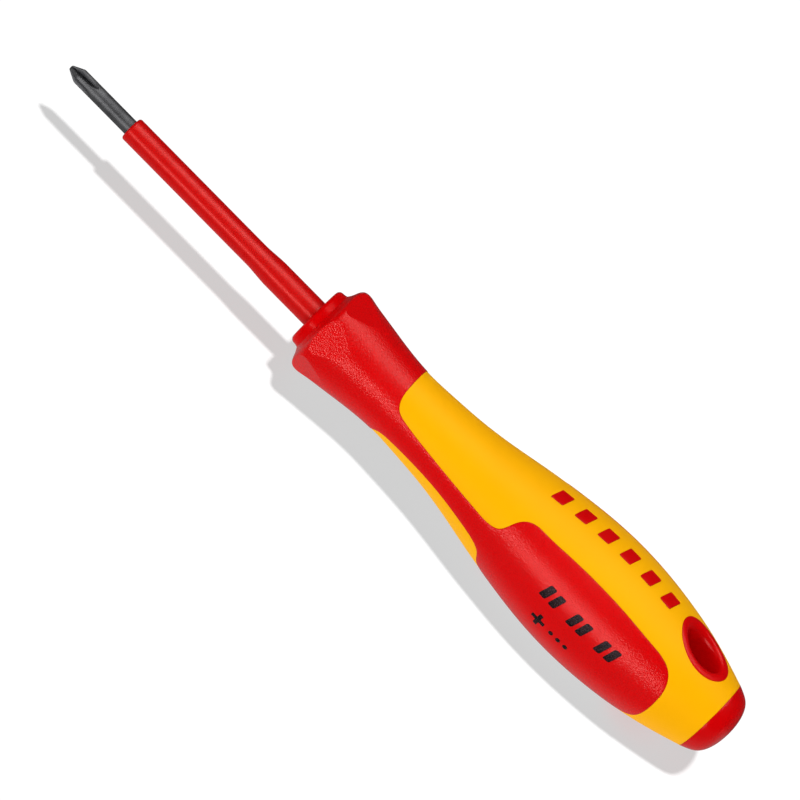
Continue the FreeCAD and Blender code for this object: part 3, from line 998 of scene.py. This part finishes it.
def ink_shapes():
    """Six slanted strokes in three pairs, and under them a plus and three dots. They mean nothing."""
    shapes = []
    low, high, half, lean = STROKE_LOW, STROKE_HIGH, STROKE_WIDTH / 2, STROKE_LEAN
    for pair in range(3):
        for k in range(2):
            x = STROKE_FIRST_X + pair * STROKE_PAIR_PITCH + k * STROKE_PITCH
            corners = [(x - half, low), (x + half, low), (x + half + lean, high), (x - half + lean, high)]
            shapes.append(rounded_polygon(corners, 0.4))
    arm, half = PLUS_ARM, PLUS_WIDTH / 2
    plus = [
        (-arm, -half), (-half, -half), (-half, -arm), (half, -arm), (half, -half), (arm, -half),
        (arm, half), (half, half), (half, arm), (-half, arm), (-half, half), (-arm, half),
    ]
    shapes.append(rounded_polygon([(PLUS_X + x, PLUS_ACROSS + y) for x, y in plus], 0.15))
    for k in range(3):
        turns = [2 * math.pi * j / 20 for j in range(20)]
        x = DOT_FIRST_X + k * DOT_PITCH
        shapes.append([Vector((x + DOT_R * math.cos(t), PLUS_ACROSS + DOT_R * math.sin(t))) for t in turns])
    return shapes


def make_print():
    """A film of ink on the pad of the -Y side, just proud of the skin."""
    under, top = INK_HEIGHTS
    films = []
    for shape in ink_shapes():
        loop = np.array([on_pad(p[0], p[1]) for p in shape])
        films.append(thick_skin(patch(loop, 0.0, INK_EDGE_R, top, PRINT_STEP), -under))
    make_piece("pad_print", joined(films), INK, [])


# ---- Hanging eyelet --------------------------------------------
def make_eyelet():
    """Oval liner: a lip that stands a little proud, rolled over into a narrower throat, on both faces."""
    def loop(share, height):
        a = EYELET_A + (THROAT_A - EYELET_A) * share
        b = EYELET_B + (THROAT_B - EYELET_B) * share
        x, y = np.array(ellipse(a, b)).T
        return np.stack([x, y, np.sqrt(radius_at(x) ** 2 - y ** 2) + height], axis=-1)

    upper = [loop(share, height) for share, height in EYELET_LIP]
    last = upper[-1]
    upper += [last * np.array([1, 1, share]) for share in (2 / 3, 1 / 3, 0.0)]
    flip = np.array([1, -1, -1])
    order = [-j % OVAL_COLUMNS for j in range(OVAL_COLUMNS)]
    loops = upper + [(ring * flip)[order] for ring in upper[-2::-1]]
    body = np.concatenate(loops), loops_to_faces(len(loops), OVAL_COLUMNS, wrap=True)
    make_piece("hang_liner", body, HARD_RED, ["hang_eyelet"])


# ---- Butt cap --------------------------------------------------
def make_cap():
    dome = [tuple(p) for p in Spline(CAP_PROFILE, end=(0, -1)).evenly(0.25)]
    edge = quarter_round(SEAM_X + SEAM_GAP, dome[0][1] - SHELL_SUNK, SHELL_EDGE_R, 3)
    outside = [(x, r - SHELL_SUNK * max(0.0, 1 - (x - SEAM_X) / 2)) for x, r in dome if x > SEAM_X + 0.25]
    front = CAP_PLUG_FRONT_X
    outline = [(front, 0.4), (front, CAP_PLUG_R - 0.2), (front + 0.2, CAP_PLUG_R)]
    outline += [(SEAM_X - 0.3, CAP_PLUG_R), (SEAM_X + SEAM_GAP, CAP_PLUG_R + 0.2)]
    outline += edge + outside[:-1]
    body = capped(turned_points(outline), ROUND_COLUMNS, front, BUTT_X)
    make_piece("butt_cap", body, HARD_RED, ["end_cap"])


# ---- Stage -----------------------------------------------------
def towards(elevation):
    """Direction across the tool, at degrees from -Y over the top to +Y."""
    a = math.radians(elevation)
    return Vector((0, -math.cos(a), math.sin(a)))


def aim_along(back, target, distance):
    """Matrix that stands at target + back * distance and looks at the target."""
    turn = back.to_track_quat("Z", "Y").to_matrix().to_4x4()
    return Matrix.Translation(target + back * distance) @ turn


def panel(name, place, radiance, target, shine=False):
    """Flat light parallel to the tool, either seen only in reflections or giving only diffuse light."""
    elevation, distance, length, width = place
    light = bpy.data.lights.new(name, "AREA")
    light.shape = "RECTANGLE"
    light.size, light.size_y = length, width
    light.energy = radiance * math.pi * length * width
    lamp = in_scene(name, light)
    lamp.matrix_world = aim_along(towards(elevation), target, distance)
    lamp.visible_camera = False
    lamp.visible_glossy = shine
    lamp.visible_diffuse = not shine
    return lamp


def softbox(name, place, radiance, target):
    """A panel for diffuse light, and a stronger one for the weak reflections of the plastics."""
    return [
        panel(name + "_light", place, radiance, target),
        panel(name + "_shine", place, radiance * SHINE, target, shine=True),
    ]


def make_key(target):
    """Parallel light that casts the tool's shadow on the floor."""
    light = bpy.data.lights.new("key", "SUN")
    light.energy, light.angle = KEY_ENERGY, KEY_ANGLE
    lamp = in_scene("key", light)
    lamp.matrix_world = aim_along(towards(KEY_ELEVATION), target, 1.0)
    return lamp


def link_light(lamp, receiver, state):
    """Lets a light shine only on the receiver (INCLUDE), or on all but the receiver (EXCLUDE)."""
    group = bpy.data.collections.new(lamp.name + "_receivers")
    group.objects.link(receiver)
    group.collection_objects[0].light_linking.link_state = state
    lamp.light_linking.receiver_collection = group


def make_world():
    """White backdrop, and weak light from all round. Reflections see it dim, so that colours stay deep."""
    world = bpy.data.worlds.new("studio")
    world.use_nodes = True
    tree = world.node_tree
    background = tree.nodes["Background"]
    path = tree.nodes.new("ShaderNodeLightPath")
    level = tree.nodes.new("ShaderNodeMapRange")
    level.inputs[3].default_value, level.inputs[4].default_value = WORLD_LEVELS
    tree.links.new(path.outputs["Is Glossy Ray"], level.inputs[0])
    strength = tree.nodes.new("ShaderNodeMath")
    strength.operation = "MAXIMUM"
    tree.links.new(level.outputs[0], strength.inputs[0])
    tree.links.new(path.outputs["Is Camera Ray"], strength.inputs[1])
    tree.links.new(strength.outputs[0], background.inputs["Strength"])
    background.inputs["Color"].default_value = WHITE
    # Without light sampling a glossy ray sees only the dim level
    world.cycles.sampling_method = "NONE"
    bpy.context.scene.world = world


def make_floor():
    """Pale floor that the handle's belly touches. Reflections see it dim, and brighter under the tool."""
    f = Finish("pale_floor")
    f.set(Base_Color=f.mix_colour(f.noise(40.0), *FLOOR_GREYS), Roughness=0.9)
    f.set(Emission_Color=WHITE, Emission_Strength=FLOOR_EMISSION)
    f.set_highlight(0.0)
    path = f.add("ShaderNodeLightPath")
    y = f.add("ShaderNodeSeparateXYZ", Vector=f.place).outputs["Y"]
    off = f.add("ShaderNodeMath", {"operation": "ABSOLUTE"}, n0=y).outputs[0]
    near, far = FLOOR_GLOW_HALF_WIDTHS
    level = f.add("ShaderNodeMapRange", n0=off, n1=near, n2=far, n3=FLOOR_GLOW[0], n4=FLOOR_GLOW[1])
    dim = f.add("ShaderNodeEmission", Color=WHITE, Strength=level.outputs[0])
    seen = path.outputs["Is Camera Ray"]
    mix = f.add("ShaderNodeMixShader", n0=seen, n1=dim.outputs[0], n2=f.shader.outputs[0])
    f.tree.links.new(mix.outputs[0], f.tree.nodes["Material Output"].inputs["Surface"])
    # Without light sampling the glow reaches reflections only as set above
    f.material.cycles.emission_sampling = "NONE"
    mesh = bpy.data.meshes.new("floor")
    half, z = FLOOR_HALF_SIZE, CAD_BOX[0].z
    corners = [(-half, -half, z), (half, -half, z), (half, half, z), (-half, half, z)]
    mesh.from_pydata(corners, [], [[0, 1, 2, 3]])
    mesh.materials.append(f.material)
    floor = in_scene("floor", mesh)
    return floor


def make_camera(target):
    camera = bpy.data.cameras.new("camera")
    camera.lens = camera.sensor_width * VIEW_DISTANCE / VIEW_WIDTH
    eye = in_scene("camera", camera)
    back = towards(VIEW_ELEVATION)
    level_right = Vector((1, 0, 0))
    level_up = back.cross(level_right)
    right = level_right * math.cos(VIEW_ROLL) + level_up * math.sin(VIEW_ROLL)
    up = level_up * math.cos(VIEW_ROLL) - level_right * math.sin(VIEW_ROLL)
    turn = Matrix((right, up, back)).transposed().to_4x4()
    eye.matrix_world = Matrix.Translation(target + level_up * VIEW_SHIFT + back * VIEW_DISTANCE) @ turn
    bpy.context.scene.camera = eye


def make_stage():
    target = Vector(((CAD_BOX[0].x + CAD_BOX[1].x) / 2, 0, 0))
    make_world()
    floor = make_floor()
    on_tool = [lamp for box in SOFTBOXES for lamp in softbox(*box, target)]
    on_tool += [panel(*plain, target) for plain in PLAIN_PANELS]
    for lamp in on_tool:
        link_light(lamp, floor, "EXCLUDE")
    link_light(make_key(target), floor, "INCLUDE")
    make_camera(target)
    bpy.context.scene.view_settings.view_transform = "Standard"


make_blade()
make_sleeve()
make_nose_ring()
make_soft_grip()
make_hard_shell()
make_inlays()
make_print()
make_eyelet()
make_cap()

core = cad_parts["handle_core"]
core.data.materials.clear()
core.data.materials.append(HARD_RED)

make_stage()
